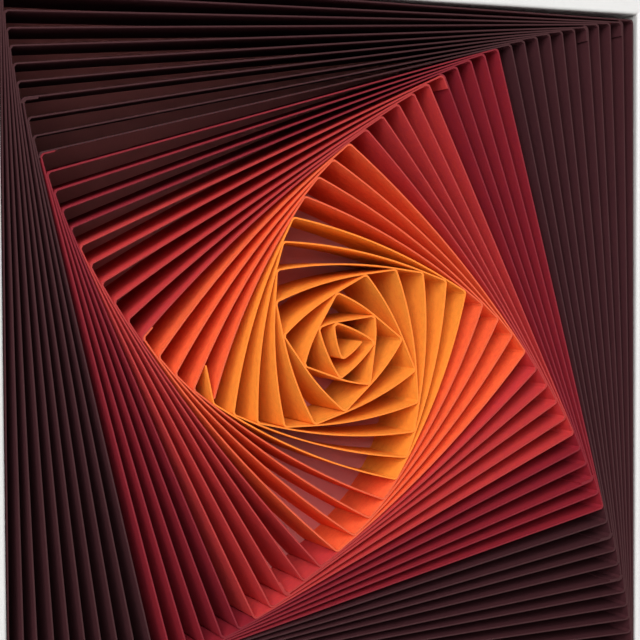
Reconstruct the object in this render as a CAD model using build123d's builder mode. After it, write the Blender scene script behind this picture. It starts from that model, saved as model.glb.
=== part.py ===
from build123d import *
import cmath
import os
from math import asin, cos, degrees, radians, sin, sqrt, tan

# Framed quilled paper art, in millimetres.
# Long strips of coloured paper stand on edge and are folded into one clockwise whirl.
# Each wall leans on the fold made three folds earlier and runs on past it, so nested
# squares turn a little from lap to lap. The whirl stands on a white card inside a deep
# white frame. The front faces -Y, +X is to the viewer's right and +Z is up. The origin
# is at the bottom centre of the frame's box.
#
# Points in the plane of the picture are complex numbers: right is real, up is imaginary.

# Paper
paper_thickness = 0.21
layer_gap = 0.01
strip_height = 12.0
fold_radius = 0.45

# Core of the whirl, folded freely before there is anything to lean on: where its first wall
# heads, the lengths of its walls from fold to fold, and the turns between them
core_heading = -139.45
core_wall_1 = 3.29
core_wall_2 = 4.2
core_wall_3 = 5.82
core_wall_4 = 6.4
core_wall_5 = 7.03
core_turns = [117.0, 128.6, 112.2, 108.4]

# Folds of each strip, from the middle of the whirl outwards
yellow_fold_count = 31
orange_fold_count = 16
red_fold_counts = [11, 10]
crimson_fold_counts = [9, 10]
maroon_fold_counts = [6, 6, 6, 7, 6, 6, 4]

# How far a wall runs past the fold that it leans on, where each colour ends
core_overhang = 5.565
yellow_overhang = 3.39
orange_overhang = 3.34
red_overhang = 2.69
crimson_overhang = 2.42
maroon_overhang = 2.1

# What it runs past further in each corner, which grows in the red and is full in the maroon
upper_right_extra = -0.07
lower_right_extra = -0.03
lower_left_extra = 0.045
upper_left_extra = 0.09

# Bow of the walls, as half of the angle that each one turns on its way: of the core's free
# walls, of the first wall that leans on a fold, and where the first two colours end. It
# fades in the first red strip, and the walls further out are straight.
core_bow = 9.0
first_leaning_bow = 7.8
yellow_bow = 9.1
orange_bow = 6.8

# Joins between strips
lap_length = 1.6
loose_tail_angle = 28.0
loose_tail_clearance = 0.1
end_overrun = 0.5

# Spans of an arc when the reach of the whirl is measured
arc_spans = 16

# Frame
rail_width = 12.0
rail_depth = 18.0
rail_edge_radius = 0.5
rebate_width = 5.0
front_reveal = 0.3
paper_side_clearance = 0.1
paper_far_clearance = 0.25

# Card and board in the rebate
rebate_clearance = 0.4
card_thickness = 1.0
board_thickness = 2.5

# Steel tabs that hold the board
tab_width = 5.0
tab_thickness = 0.4
tab_reach = 6.0
tab_grip = 4.0
tab_spacing = 50.0

# Sawtooth hanger
hanger_length = 34.0
hanger_height = 8.0
hanger_plate = 0.5
hanger_lift = 1.1
hanger_foot = 6.0
hanger_ramp = 2.0
hanger_below_board_top = 10.0
tooth_count = 9
tooth_pitch = 2.0
tooth_depth = 1.4
nail_diameter = 1.2
nail_head_diameter = 2.8
nail_head_height = 0.4
nail_length = 1.8

layer_step = paper_thickness + layer_gap
half_paper = paper_thickness / 2
core_walls = [core_wall_1, core_wall_2, core_wall_3, core_wall_4, core_wall_5]

# Strips by name, each with the fold where it starts and its last fold
yellow_last_fold = yellow_fold_count
orange_last_fold = yellow_last_fold + orange_fold_count
red_last_fold = orange_last_fold + sum(red_fold_counts)
crimson_last_fold = red_last_fold + sum(crimson_fold_counts)
maroon_last_fold = crimson_last_fold + sum(maroon_fold_counts)
strips = [
    ("yellow_orange_strip", 0, yellow_last_fold),
    ("orange_red_strip", yellow_last_fold, orange_last_fold),
]
colours = {"red": red_fold_counts, "crimson": crimson_fold_counts, "maroon": maroon_fold_counts}
for colour, counts in colours.items():
    for number, count in enumerate(counts, 1):
        start = strips[-1][2]
        strips.append((f"{colour}_strip_{number}", start, start + count))
lap_folds = {first for name, first, last in strips if first > yellow_last_fold}
colour_ends = [len(core_walls) + 1, yellow_last_fold, orange_last_fold]
colour_ends += [red_last_fold, crimson_last_fold, maroon_last_fold]


def turned(direction, angle):
    """The direction turned anticlockwise by an angle in degrees."""
    return direction * cmath.rect(1, radians(angle))


def between(fold, folds, values):
    """A value that changes evenly from fold to fold between the given folds."""
    if fold <= folds[0]:
        return values[0]
    for start, end, low, high in zip(folds, folds[1:], values, values[1:]):
        if fold <= end:
            return low + (high - low) * (fold - start) / (end - start)
    return values[-1]


def overhang(fold):
    """Length of wall past the fold that it leans on, up to the given fold."""
    values = [core_overhang, yellow_overhang, orange_overhang]
    values += [red_overhang, crimson_overhang, maroon_overhang]
    extras = [upper_right_extra, lower_right_extra, lower_left_extra, upper_left_extra]
    grown = between(fold, [orange_last_fold, crimson_last_fold], [0, 1])
    return between(fold, colour_ends, values) + grown * extras[fold % 4]


def bow(fold):
    """Half of the angle that the wall before a fold turns on its way."""
    folds = colour_ends[:3] + [orange_last_fold + red_fold_counts[0]]
    return between(fold, folds, [first_leaning_bow, yellow_bow, orange_bow, 0])


def outer_radius(fold):
    """Radius of the outermost layer of paper at a fold, which is double at a lap."""
    return fold_radius + layer_step if fold in lap_folds else fold_radius


def run(centre_1, radius_1, centre_2, radius_2, half_turn):
    """Wall that leaves one fold and touches another, both on its right.

    It gives the direction at each end and, for a bowed wall, its centre and radius.
    """
    step = centre_2 - centre_1
    span = abs(step)
    if half_turn == 0:
        direction = turned(step / span, degrees(asin((radius_2 - radius_1) / span)))
        return direction, direction, None, None
    radius = (radius_1 + radius_2) / 2 + span / (2 * sin(radians(half_turn)))
    reach_1 = radius - radius_1
    reach_2 = radius - radius_2
    along = (span**2 + reach_1**2 - reach_2**2) / (2 * span)
    centre = centre_1 + step / span * (along - 1j * sqrt(reach_1**2 - along**2))
    direction_1 = (centre_1 - centre) / reach_1 / 1j
    direction_2 = (centre_2 - centre) / reach_2 / 1j
    return direction_1, direction_2, centre, radius


def line(start, end):
    """Straight piece of a strip's centre line."""
    return {"start": start, "end": end, "direction": (end - start) / abs(end - start)}


def arc(centre, radius, direction, turn):
    """Piece of a strip's centre line that turns clockwise about a centre."""
    return {"centre": centre, "radius": radius, "direction": direction, "turn": turn}


def turn_between(direction_1, direction_2):
    """Clockwise turn in degrees from one direction to another."""
    return degrees(cmath.phase(direction_1 / direction_2)) % 360


# The folds, each with its centre, the direction in which the paper arrives and leaves,
# and the wall that leads away from it. The last wall ends just past what it leans on.
centres = [0j]
heading = turned(1, core_heading)
for length, turn in zip(core_walls, core_turns + [0]):
    centres.append(centres[-1] + length * heading)
    heading = turned(heading, -turn)

arriving = [None]
leaving = []
walls = []
for fold in range(maroon_last_fold + 1):
    here = centres[fold]
    if fold < len(core_walls):
        following = centres[fold + 1]
        out, back, middle, radius = run(
            here, outer_radius(fold), following, fold_radius, core_bow
        )
        pieces = [arc(middle, radius, out, turn_between(out, back))]
    else:
        rest = centres[fold - 3]
        rest_radius = outer_radius(fold - 3) + layer_step
        out, back, middle, radius = run(
            here, outer_radius(fold), rest, rest_radius, bow(fold + 1)
        )
        past = end_overrun if fold == maroon_last_fold else overhang(fold + 1)
        following = rest + past * back + (rest_radius - fold_radius) * 1j * back
        centres.append(following)
        touch = rest + rest_radius * 1j * back
        arrival = following + fold_radius * 1j * back
        if middle is None:
            pieces = [line(here + outer_radius(fold) * 1j * out, arrival)]
        else:
            pieces = [
                arc(middle, radius, out, turn_between(out, back)),
                line(touch, arrival),
            ]
    arriving.append(back)
    leaving.append(out)
    walls.append(pieces)


def fold_arc(fold, spring_back=0):
    """The paper's turn at a fold, less what it springs back, creased on its inner face."""
    turn = turn_between(arriving[fold], leaving[fold]) - spring_back
    return arc(centres[fold], fold_radius, arriving[fold], turn) | {"creased": True}


def lap_arc(fold):
    """Turn of a new strip that starts round the outside of the old strip's last fold."""
    turn = turn_between(arriving[fold], leaving[fold])
    return arc(centres[fold], outer_radius(fold), arriving[fold], turn)


def loose_tail(fold):
    """Springing tail of a strip, which stops at the next wall outside it."""
    direction = turned(leaving[fold], loose_tail_angle)
    start = centres[fold] + fold_radius * 1j * direction
    outer_wall = walls[fold + 4][0]
    edge = start + half_paper * 1j * direction - outer_wall["centre"]
    limit = outer_wall["radius"] - half_paper - loose_tail_clearance
    inward = (edge.conjugate() * direction).real
    length = sqrt(inward**2 + limit**2 - abs(edge) ** 2) - inward
    return line(start, start + length * direction)


def after_loose_tail(fold):
    """First wall of the strip that starts under a loose tail, clear of the tail."""
    slope = radians(loose_tail_angle)
    rise = fold_radius + half_paper + layer_gap
    skip = (rise - (fold_radius - half_paper) / cos(slope)) / tan(slope)
    whole = walls[fold][0]
    skipped_turn = degrees(skip / whole["radius"])
    direction = turned(whole["direction"], -skipped_turn)
    shorter = arc(whole["centre"], whole["radius"], direction, whole["turn"] - skipped_turn)
    return [shorter] + walls[fold][1:]


def lap(fold):
    """Glued end of a strip, which lies inside the next strip's first wall."""
    outer_wall = walls[fold][0]
    if "centre" not in outer_wall:
        start = centres[fold] + fold_radius * 1j * leaving[fold]
        return line(start, start + lap_length * leaving[fold])
    radius = outer_wall["radius"] - layer_step
    return arc(outer_wall["centre"], radius, leaving[fold], degrees(lap_length / radius))


def centre_line(first, last):
    """All pieces of the strip between two joins, with its laps."""
    if first == 0:
        pieces = list(walls[0])
    elif first == yellow_last_fold:
        pieces = after_loose_tail(first)
    else:
        pieces = [lap_arc(first)] + walls[first]
    for fold in range(first + 1, last):
        pieces.append(fold_arc(fold))
        pieces += walls[fold]
    if last == yellow_last_fold:
        pieces.append(fold_arc(last, loose_tail_angle))
        pieces.append(loose_tail(last))
    elif last == maroon_last_fold:
        pieces.append(fold_arc(last))
        pieces += walls[last]
    else:
        pieces.append(fold_arc(last))
        pieces.append(lap(last))
    return pieces


def side_points(piece, side):
    """Points along one face of a piece of strip."""
    if "centre" not in piece:
        offset = side * half_paper * 1j * piece["direction"]
        return [piece["start"] + offset, piece["end"] + offset]
    reach = (piece["radius"] + side * half_paper) * 1j * piece["direction"]
    steps = [piece["turn"] * span / arc_spans for span in range(arc_spans + 1)]
    return [piece["centre"] + turned(reach, -step) for step in steps]


# Opening of the frame, from the reach of the whole whirl
reached = []
for name, first, last in strips:
    for piece in centre_line(first, last):
        reached += side_points(piece, 1)
left = min(point.real for point in reached)
right = max(point.real for point in reached)
low = min(point.imag for point in reached)
high = max(point.imag for point in reached)
opening = max(right - left, high - low) + paper_side_clearance + paper_far_clearance
half_opening = opening / 2
half_frame = half_opening + rail_width
middle_height = half_frame

# The whirl is pushed into the upper left corner of the opening
move_right = -half_opening + paper_side_clearance - left
move_up = middle_height + half_opening - paper_side_clearance - high
placing = complex(move_right, move_up)

# Depths, from the front of the frame to its back
front = -rail_depth / 2
card_front = front + front_reveal + strip_height
board_front = card_front + card_thickness
board_back = board_front + board_thickness
card_half = half_opening + rebate_width - rebate_clearance


def upright(depth):
    """Plane of the picture at a depth, seen from the front."""
    return Plane.XZ.offset(-depth)


def flat(point):
    """A point of the whirl as a sketch point in the frame."""
    placed = point + placing
    return (placed.real, placed.imag)


def draw_side(piece, side):
    """One face of a piece of strip, as an edge of its outline."""
    if "centre" not in piece or (side < 0 and "creased" in piece):
        points = side_points(piece, side)
        Line(flat(points[0]), flat(points[-1]))
        return
    start_angle = degrees(cmath.phase(1j * piece["direction"]))
    CenterArc(
        flat(piece["centre"]), piece["radius"] + side * half_paper, start_angle, -piece["turn"]
    )


def paper_strip(name, first, last):
    """One folded strip of paper, standing on the card."""
    pieces = centre_line(first, last)
    with BuildPart() as strip:
        with BuildSketch(upright(card_front)):
            with BuildLine():
                for piece in pieces:
                    draw_side(piece, 1)
                    draw_side(piece, -1)
                Line(flat(side_points(pieces[0], 1)[0]), flat(side_points(pieces[0], -1)[0]))
                Line(flat(side_points(pieces[-1], 1)[-1]), flat(side_points(pieces[-1], -1)[-1]))
            make_face()
        extrude(amount=strip_height)
    strip.part.label = name
    export_step(strip.part, f"parts/{name}.step")
    return strip.part


def rail(name, angle):
    """Mitred rail on one side of the opening, rebated at the back and slotted for tabs."""
    outward = turned(1, angle)
    along = turned(1, angle + 90)
    inner = Vector(half_opening * outward.real, 0, middle_height + half_opening * outward.imag)
    profile_plane = Plane(
        origin=inner,
        x_dir=(outward.real, 0, outward.imag),
        z_dir=(along.real, 0, along.imag),
    )
    depth_sign = 1 if profile_plane.y_dir.Y > 0 else -1
    centre = Vector(0, 0, middle_height)
    with BuildPart() as piece:
        with BuildSketch(profile_plane):
            with BuildLine():
                Polyline(
                    (0, depth_sign * front),
                    (rail_width, depth_sign * front),
                    (rail_width, depth_sign * rail_depth / 2),
                    (rebate_width, depth_sign * rail_depth / 2),
                    (rebate_width, depth_sign * card_front),
                    (0, depth_sign * card_front),
                    close=True,
                )
            make_face()
        extrude(amount=half_frame, both=True)
        front_edges = piece.edges().filter_by(Axis((0, 0, 0), profile_plane.z_dir))
        fillet(front_edges.group_by(Axis.Y)[0], rail_edge_radius)
        for mitre in (angle + 45, angle - 45):
            side = turned(1, mitre + (90 if mitre > angle else -90))
            split(bisect_by=Plane(centre, z_dir=(side.real, 0, side.imag)), keep=Keep.BOTTOM)
        with BuildSketch(
            Plane(
                origin=inner + Vector(0, board_back + tab_thickness / 2, 0),
                x_dir=(outward.real, 0, outward.imag),
                z_dir=(0, 1, 0),
            )
        ):
            slot_middle = rebate_width + tab_grip / 2
            with Locations((slot_middle, tab_spacing / 2), (slot_middle, -tab_spacing / 2)):
                Rectangle(tab_grip, tab_width)
        extrude(amount=tab_thickness / 2, both=True, mode=Mode.SUBTRACT)
    piece.part.label = name
    export_step(piece.part, f"parts/{name}.step")
    return piece.part


os.makedirs("parts", exist_ok=True)

# Strips of paper
for name, first, last in strips:
    paper_strip(name, first, last)

# Frame
for name, angle in (("right_rail", 0), ("top_rail", 90), ("left_rail", 180), ("bottom_rail", 270)):
    rail(name, angle)

# White card that the strips are glued to
with BuildPart() as mount_card:
    with BuildSketch(upright(card_front)):
        with Locations((0, middle_height)):
            Rectangle(2 * card_half, 2 * card_half)
    extrude(amount=-card_thickness)
mount_card.part.label = "mount_card"
export_step(mount_card.part, "parts/mount_card.step")

# Backing board, with the holes of the hanger's nails
hanger_top = middle_height + card_half - hanger_below_board_top
hanger_middle = hanger_top - hanger_height / 2
nail_offset = hanger_length / 2 - hanger_foot / 2
nail_places = [(-nail_offset, hanger_middle), (nail_offset, hanger_middle)]
with BuildPart() as backing_board:
    with BuildSketch(upright(board_front)):
        with Locations((0, middle_height)):
            Rectangle(2 * card_half, 2 * card_half)
    extrude(amount=-board_thickness)
    with BuildSketch(upright(board_back)):
        with Locations(*nail_places):
            Circle(nail_diameter / 2)
    extrude(amount=nail_length, mode=Mode.SUBTRACT)
backing_board.part.label = "backing_board"
export_step(backing_board.part, "parts/backing_board.step")

# Steel tabs pressed into the rails and lying on the board
with BuildPart() as retaining_tabs:
    for angle in (0, 90, 180, 270):
        outward = turned(1, angle)
        with BuildSketch(
            Plane(
                origin=(
                    half_opening * outward.real,
                    board_back + tab_thickness / 2,
                    middle_height + half_opening * outward.imag,
                ),
                x_dir=(outward.real, 0, outward.imag),
                z_dir=(0, 1, 0),
            )
        ):
            tab_middle = rebate_width + (tab_grip - tab_reach) / 2
            with Locations((tab_middle, tab_spacing / 2), (tab_middle, -tab_spacing / 2)):
                Rectangle(tab_grip + tab_reach, tab_width)
        extrude(amount=tab_thickness / 2, both=True)
retaining_tabs.part.label = "retaining_tabs"
export_step(retaining_tabs.part, "parts/retaining_tabs.step")

# Sawtooth hanger: flat feet on the board, a lifted middle and teeth along the lower edge
lifted_half = hanger_length / 2 - hanger_foot - hanger_ramp
with BuildPart() as sawtooth_hanger:
    with BuildSketch(Plane.XY.offset(hanger_middle)):
        with BuildLine():
            Polyline(
                (-hanger_length / 2, board_back),
                (-hanger_length / 2 + hanger_foot, board_back),
                (-lifted_half, board_back + hanger_lift),
                (lifted_half, board_back + hanger_lift),
                (hanger_length / 2 - hanger_foot, board_back),
                (hanger_length / 2, board_back),
                (hanger_length / 2, board_back + hanger_plate),
                (hanger_length / 2 - hanger_foot, board_back + hanger_plate),
                (lifted_half, board_back + hanger_lift + hanger_plate),
                (-lifted_half, board_back + hanger_lift + hanger_plate),
                (-hanger_length / 2 + hanger_foot, board_back + hanger_plate),
                (-hanger_length / 2, board_back + hanger_plate),
                close=True,
            )
        make_face()
    extrude(amount=hanger_height / 2, both=True)
    with BuildSketch(upright(board_back)):
        with Locations(*nail_places):
            Circle(nail_diameter / 2)
    extrude(amount=-hanger_plate, mode=Mode.SUBTRACT)
    with BuildSketch(upright(board_back)):
        for tooth in range(tooth_count):
            root = (tooth - (tooth_count - 1) / 2) * tooth_pitch
            with BuildLine():
                Polyline(
                    (root - tooth_pitch / 2, hanger_top - hanger_height),
                    (root, hanger_top - hanger_height + tooth_depth),
                    (root + tooth_pitch / 2, hanger_top - hanger_height),
                    close=True,
                )
            make_face()
    extrude(amount=-(hanger_lift + hanger_plate), mode=Mode.SUBTRACT)
sawtooth_hanger.part.label = "sawtooth_hanger"
export_step(sawtooth_hanger.part, "parts/sawtooth_hanger.step")

# Nails of the hanger
with BuildPart() as hanger_nails:
    with BuildSketch(upright(board_back + hanger_plate)):
        with Locations(*nail_places):
            Circle(nail_diameter / 2)
    extrude(amount=nail_length + hanger_plate)
    with BuildSketch(upright(board_back + hanger_plate)):
        with Locations(*nail_places):
            Circle(nail_head_diameter / 2)
    extrude(amount=-nail_head_height)
hanger_nails.part.label = "hanger_nails"
export_step(hanger_nails.part, "parts/hanger_nails.step")

print("opening", round(opening, 2), "frame", round(2 * half_frame, 2))
print("whirl placed at", round(placing.real, 3), round(placing.imag, 3))
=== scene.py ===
import math

import bpy
from mathutils import Matrix, Vector


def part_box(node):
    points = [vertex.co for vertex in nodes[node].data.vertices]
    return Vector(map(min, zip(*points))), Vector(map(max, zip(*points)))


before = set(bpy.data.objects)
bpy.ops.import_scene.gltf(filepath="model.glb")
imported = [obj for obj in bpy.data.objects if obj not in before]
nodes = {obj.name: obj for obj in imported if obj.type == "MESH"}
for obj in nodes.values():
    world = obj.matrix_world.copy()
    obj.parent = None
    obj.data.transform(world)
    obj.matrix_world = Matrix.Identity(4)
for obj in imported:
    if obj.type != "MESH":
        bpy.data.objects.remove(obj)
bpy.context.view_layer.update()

# Millimetres, written in metres
MM = 0.001

# The photograph's view. The aim is the point of the strips' front edges that is seen in
# the middle of the picture, measured from the opening's upper left corner.
IMAGE_SIDE = 640
FOCAL_PIXELS = 1650
SENSOR = 36.0
NEAREST_SEEN = 10 * MM
TURN = math.radians(-23.642)
RISE = math.radians(2.339)
ROLL = math.radians(-0.261)
DISTANCE = 233.5 * MM
AIM_FROM_LEFT = 45.2 * MM
AIM_FROM_TOP = 45.8 * MM

# A face counts as looking forward or backward when its normal reaches this far that way
LOOKS_ALONG = 0.7

# Pitch of the pressing screen's print on the board's back, in millimetres
SCREEN_PITCH = 0.9

# Half the side of the floor, in metres
FLOOR_REACH = 12.0

strip_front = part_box("maroon_strip_7")[0].y
opening_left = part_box("left_rail")[1].x
opening_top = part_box("top_rail")[0].z
aim = Vector((opening_left + AIM_FROM_LEFT, strip_front, opening_top - AIM_FROM_TOP))


def add_camera():
    """Camera at the photograph's place, turned and rolled as it was."""
    back = Vector(
        (
            math.sin(TURN) * math.cos(RISE),
            -math.cos(TURN) * math.cos(RISE),
            math.sin(RISE),
        )
    )
    level_right = Vector((math.cos(TURN), math.sin(TURN), 0))
    level_up = back.cross(level_right)
    right = math.cos(ROLL) * level_right + math.sin(ROLL) * level_up
    up = -math.sin(ROLL) * level_right + math.cos(ROLL) * level_up
    data = bpy.data.cameras.new("camera")
    data.sensor_width = SENSOR
    data.lens = SENSOR * FOCAL_PIXELS / IMAGE_SIDE
    data.clip_start = NEAREST_SEEN
    camera = bpy.data.objects.new("camera", data)
    turn = Matrix((right, up, back)).transposed().to_4x4()
    camera.matrix_world = Matrix.Translation(aim + DISTANCE * back) @ turn
    bpy.context.scene.collection.objects.link(camera)
    bpy.context.scene.camera = camera


add_camera()


# Materials


def srgb(red, green, blue):
    """Linear colour from 8-bit sRGB values."""
    linear = []
    for value in (red, green, blue):
        value /= 255
        if value <= 0.04045:
            linear.append(value / 12.92)
        else:
            linear.append(((value + 0.055) / 1.055) ** 2.4)
    return (*linear, 1.0)


class Nodes:
    """Short helper to build a material's node tree."""

    def __init__(self, name):
        self.material = bpy.data.materials.new(name)
        self.material.use_nodes = True
        self.tree = self.material.node_tree
        self.tree.nodes.clear()

    def add(self, kind, inputs=None, **settings):
        node = self.tree.nodes.new(kind)
        for key, value in settings.items():
            setattr(node, key, value)
        for key, value in (inputs or {}).items():
            if hasattr(value, "is_output"):
                self.tree.links.new(value, node.inputs[key])
            else:
                node.inputs[key].default_value = value
        return node

    def place(self, stretch=(1, 1, 1)):
        """Point on the object in millimetres, stretched along the axes."""
        here = self.add("ShaderNodeTexCoord")
        scale = [1 / MM / value for value in stretch]
        inputs = {"Vector": here.outputs["Object"], "Scale": scale}
        return self.add("ShaderNodeMapping", inputs).outputs[0]

    def noise(self, size, stretch=(1, 1, 1), detail=2.0, roughness=0.5):
        """Noise whose cells measure size in millimetres, times the stretch."""
        inputs = {
            "Vector": self.place(stretch),
            "Scale": 1 / size,
            "Detail": detail,
            "Roughness": roughness,
        }
        return self.add("ShaderNodeTexNoise", inputs).outputs["Fac"]

    def spread(self, value, low, high, start=0.3, end=0.7):
        """Value moved from the range start to end into the range low to high."""
        inputs = {
            "Value": value,
            "From Min": start,
            "From Max": end,
            "To Min": low,
            "To Max": high,
        }
        return self.add("ShaderNodeMapRange", inputs).outputs[0]

    def mix(self, factor, first, second):
        """Blend of two colours."""
        inputs = {"Factor": factor, "A": first, "B": second}
        return self.add("ShaderNodeMix", inputs, data_type="RGBA").outputs["Result"]

    def maths(self, operation, *values):
        """Result of a sum on numbers."""
        inputs = dict(enumerate(values))
        return self.add("ShaderNodeMath", inputs, operation=operation).outputs[0]

    def shade(self, colour, value, **inputs):
        """Colour with its brightness multiplied by a value."""
        inputs = {"Color": colour, "Value": value, **inputs}
        return self.add("ShaderNodeHueSaturation", inputs).outputs[0]

    def facing(self, axis):
        """How far the surface faces along an axis of the object."""
        geometry = self.add("ShaderNodeNewGeometry")
        split = self.add("ShaderNodeSeparateXYZ", {"Vector": geometry.outputs["Normal"]})
        return split.outputs[axis]

    def bump(self, height, depth, strength=1.0):
        """Surface relief, with its depth in millimetres."""
        inputs = {"Height": height, "Distance": depth * MM, "Strength": strength}
        return self.add("ShaderNodeBump", inputs).outputs[0]

    def finish(self, **inputs):
        """Main shader with its inputs by name, joined to the output."""
        named = {key.replace("_", " "): value for key, value in inputs.items()}
        shader = self.add("ShaderNodeBsdfPrincipled", named)
        self.add("ShaderNodeOutputMaterial", {"Surface": shader.outputs[0]})
        return self.material


def paper(name, face, edge):
    """Coloured craft paper: fibrous mottled faces, and a furry cut edge of its own colour."""
    build = Nodes(name)
    cloud = build.noise(7.0, detail=3.0)
    mottle = build.noise(0.9, detail=4.0, roughness=0.65)
    fibre = build.noise(0.11, stretch=(3, 3, 1), detail=3.0, roughness=0.7)
    fuzz = build.noise(0.16, detail=3.0, roughness=0.7)

    tint = build.spread(cloud, 0.95, 1.04)
    for grain in (mottle, fibre):
        tint = build.maths("MULTIPLY", tint, build.spread(grain, 0.93, 1.06))
    face_colour = build.shade(face, tint, Hue=build.spread(mottle, 0.497, 0.503))
    edge_colour = build.shade(edge, build.spread(fuzz, 0.82, 1.12))
    cut = build.maths("LESS_THAN", build.facing("Y"), -LOOKS_ALONG)
    colour = build.mix(cut, face_colour, edge_colour)

    half_fibre = build.maths("MULTIPLY", fibre, 0.5)
    height = build.maths("ADD", half_fibre, build.maths("MULTIPLY", fuzz, 0.5))
    return build.finish(
        Base_Color=colour,
        Roughness=build.spread(mottle, 0.8, 0.92),
        Specular_IOR_Level=0.08,
        Normal=build.bump(height, depth=0.03, strength=0.5),
    )


def smooth_card(name, colour):
    """Mounting card with a fine tooth and faint pulp clouds."""
    build = Nodes(name)
    cloud = build.noise(9.0, detail=4.0, roughness=0.6)
    tooth = build.noise(0.25, detail=4.0, roughness=0.7)
    tooth_tint = build.spread(tooth, 0.96, 1.03)
    tint = build.maths("MULTIPLY", build.spread(cloud, 0.97, 1.02), tooth_tint)
    return build.finish(
        Base_Color=build.shade(colour, tint),
        Roughness=build.spread(tooth, 0.78, 0.9),
        Specular_IOR_Level=0.3,
        Normal=build.bump(tooth, depth=0.03, strength=0.4),
    )


def painted_wood(name, colour, grain_axis):
    """White satin paint over wood, with its grain along the rail just showing through."""
    build = Nodes(name)
    along = (40, 1, 1) if grain_axis == "X" else (1, 1, 40)
    grain = build.noise(0.9, stretch=along, detail=4.0, roughness=0.6)
    pores = build.noise(0.25, stretch=along, detail=2.0)
    brushed = build.noise(4.0, stretch=along, detail=3.0)
    orange_peel = build.noise(0.7, detail=2.0)
    grain_tint = build.spread(grain, 0.975, 1.01)
    tint = build.maths("MULTIPLY", build.spread(brushed, 0.97, 1.01), grain_tint)
    height = build.maths("MULTIPLY", grain, 0.6)
    for relief in (pores, orange_peel):
        height = build.maths("ADD", height, build.maths("MULTIPLY", relief, 0.25))
    return build.finish(
        Base_Color=build.shade(colour, tint),
        Roughness=build.spread(orange_peel, 0.36, 0.5),
        Normal=build.bump(height, depth=0.06, strength=0.5),
    )


def hardboard(name, light, dark):
    """Brown pressed fibre board, with the print of the pressing screen on its back."""
    build = Nodes(name)
    chips = build.noise(0.6, stretch=(2.5, 1, 1), detail=5.0, roughness=0.7)
    cloud = build.noise(12.0, detail=3.0)
    cloud_share = build.spread(cloud, 0.75, 1.0)
    share = build.maths("MULTIPLY", build.spread(chips, 0.1, 1.0), cloud_share)
    colour = build.mix(share, dark, light)
    here = build.add("ShaderNodeSeparateXYZ", {"Vector": build.place()})
    wires = []
    for axis in ("X", "Z"):
        phase = build.maths("MULTIPLY", here.outputs[axis], 2 * math.pi / SCREEN_PITCH)
        wires.append(build.maths("SINE", phase))
    print_height = build.maths("MULTIPLY", *wires)
    back = build.maths("GREATER_THAN", build.facing("Y"), LOOKS_ALONG)
    print_height = build.maths("MULTIPLY", print_height, build.maths("MULTIPLY", back, 0.3))
    height = build.maths("ADD", print_height, chips)
    return build.finish(
        Base_Color=colour,
        Roughness=build.spread(chips, 0.65, 0.85),
        Specular_IOR_Level=0.35,
        Normal=build.bump(height, depth=0.08, strength=0.6),
    )


def plated_steel(name, colour):
    """Zinc-plated sheet with fine rolling marks and cloudy gloss."""
    build = Nodes(name)
    marks = build.noise(0.08, stretch=(60, 1, 1), detail=2.0)
    cloud = build.noise(1.6, detail=3.0)
    marks_tint = build.spread(marks, 0.94, 1.04)
    tint = build.maths("MULTIPLY", build.spread(cloud, 0.88, 1.05), marks_tint)
    marks_gloss = build.spread(marks, -0.05, 0.08)
    return build.finish(
        Base_Color=build.shade(colour, tint),
        Metallic=1.0,
        Roughness=build.maths("ADD", build.spread(cloud, 0.26, 0.4), marks_gloss),
        Normal=build.bump(marks, depth=0.01, strength=0.4),
    )


rail_white = srgb(214, 213, 211)
finishes = {
    "yellow_orange": paper("yellow_orange_paper", srgb(255, 162, 62), srgb(248, 134, 54)),
    "orange_red": paper("orange_red_paper", srgb(252, 112, 66), srgb(218, 93, 63)),
    "red": paper("red_paper", srgb(212, 67, 68), srgb(167, 58, 56)),
    "crimson": paper("crimson_paper", srgb(159, 41, 54), srgb(124, 39, 47)),
    "maroon": paper("maroon_paper", srgb(79, 42, 47), srgb(66, 40, 42)),
    # The card is tinted rose and darkened: painted reflected light from the orange and red
    # walls, and painted shade in the deep cells between them.
    "mount_card": smooth_card("card_painted_glow_and_shade", srgb(218, 129, 127)),
    "left_rail": painted_wood("white_rail_upright", rail_white, "Z"),
    "top_rail": painted_wood("white_rail_level", rail_white, "X"),
    "backing_board": hardboard("hardboard", srgb(150, 112, 78), srgb(96, 66, 42)),
    "retaining_tabs": plated_steel("steel", srgb(190, 190, 192)),
}
finishes["right_rail"] = finishes["left_rail"]
finishes["bottom_rail"] = finishes["top_rail"]
finishes["sawtooth_hanger"] = finishes["hanger_nails"] = finishes["retaining_tabs"]
for name, node in nodes.items():
    finish = next(value for key, value in finishes.items() if name.startswith(key))
    for slot in node.material_slots:
        slot.material = finish

# Floor, world and lights


def seen_directly(tree):
    """1 for camera, glossy and transmission rays, and 0 for the rays that carry light."""
    path = tree.nodes.new("ShaderNodeLightPath")
    either = path.outputs["Is Camera Ray"]
    for ray in ("Is Glossy Ray", "Is Transmission Ray"):
        larger = tree.nodes.new("ShaderNodeMath")
        larger.operation = "MAXIMUM"
        tree.links.new(either, larger.inputs[0])
        tree.links.new(path.outputs[ray], larger.inputs[1])
        either = larger.outputs[0]
    return either


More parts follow.
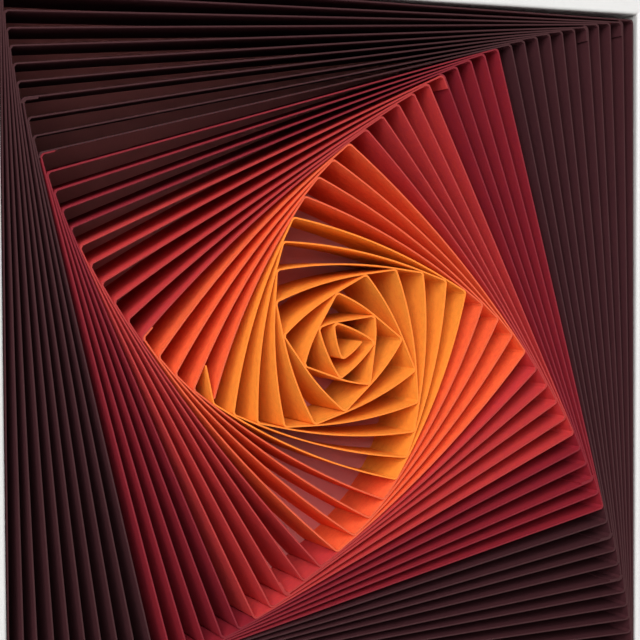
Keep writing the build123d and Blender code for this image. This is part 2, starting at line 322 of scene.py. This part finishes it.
def add_floor(own_look):
    """Plain pale floor under the frame. Its own look adds nothing to the light."""
    mesh = bpy.data.meshes.new("floor")
    signs = [(-1, -1), (1, -1), (1, 1), (-1, 1)]
    corners = [(x * FLOOR_REACH, y * FLOOR_REACH, 0) for x, y in signs]
    mesh.from_pydata(corners, [], [(0, 1, 2, 3)])
    floor = bpy.data.objects.new("floor", mesh)
    bpy.context.scene.collection.objects.link(floor)
    build = Nodes("pale_floor")
    own_light = build.maths("MULTIPLY", seen_directly(build.tree), own_look)
    cloud = build.noise(60.0, detail=3.0)
    build.finish(
        Base_Color=build.mix(cloud, srgb(216, 216, 216), srgb(222, 222, 221)),
        Roughness=0.9,
        Specular_IOR_Level=0.2,
        Emission_Color=(1, 1, 1, 1),
        Emission_Strength=own_light,
    )
    floor.data.materials.append(build.material)


def add_light(name, place, target, side, power):
    """Soft square lamp that looks at a point."""
    data = bpy.data.lights.new(name, "AREA")
    data.shape = "SQUARE"
    data.size = side
    data.energy = power
    lamp = bpy.data.objects.new(name, data)
    lamp.location = place
    lamp.rotation_euler = (target - Vector(place)).to_track_quat("-Z", "Y").to_euler()
    bpy.context.scene.collection.objects.link(lamp)


def add_world(light, seen):
    """Even surroundings, dimmer as a light than they look."""
    world = bpy.data.worlds.new("world")
    world.use_nodes = True
    tree = world.node_tree
    strength = tree.nodes.new("ShaderNodeMapRange")
    strength.inputs["To Min"].default_value = light
    strength.inputs["To Max"].default_value = seen
    tree.links.new(seen_directly(tree), strength.inputs["Value"])
    background = tree.nodes["Background"]
    background.inputs["Color"].default_value = (1, 1, 1, 1)
    tree.links.new(strength.outputs[0], background.inputs["Strength"])
    bpy.context.scene.world = world


def from_aim(turn, rise, distance):
    """Place at an angle round the aim, with turn from the front towards the right."""
    turn, rise = math.radians(turn), math.radians(rise)
    level = math.cos(rise)
    direction = Vector((math.sin(turn) * level, -math.cos(turn) * level, math.sin(rise)))
    return aim + distance * direction


add_floor(own_look=0.18)
add_world(light=0.3, seen=0.6)
add_light("key", from_aim(turn=-30, rise=24, distance=2.5), aim, side=1.5, power=67.0)
add_light("back_fill", from_aim(turn=150, rise=35, distance=3.0), aim, side=2.0, power=60.0)

bpy.context.scene.view_settings.view_transform = "Standard"
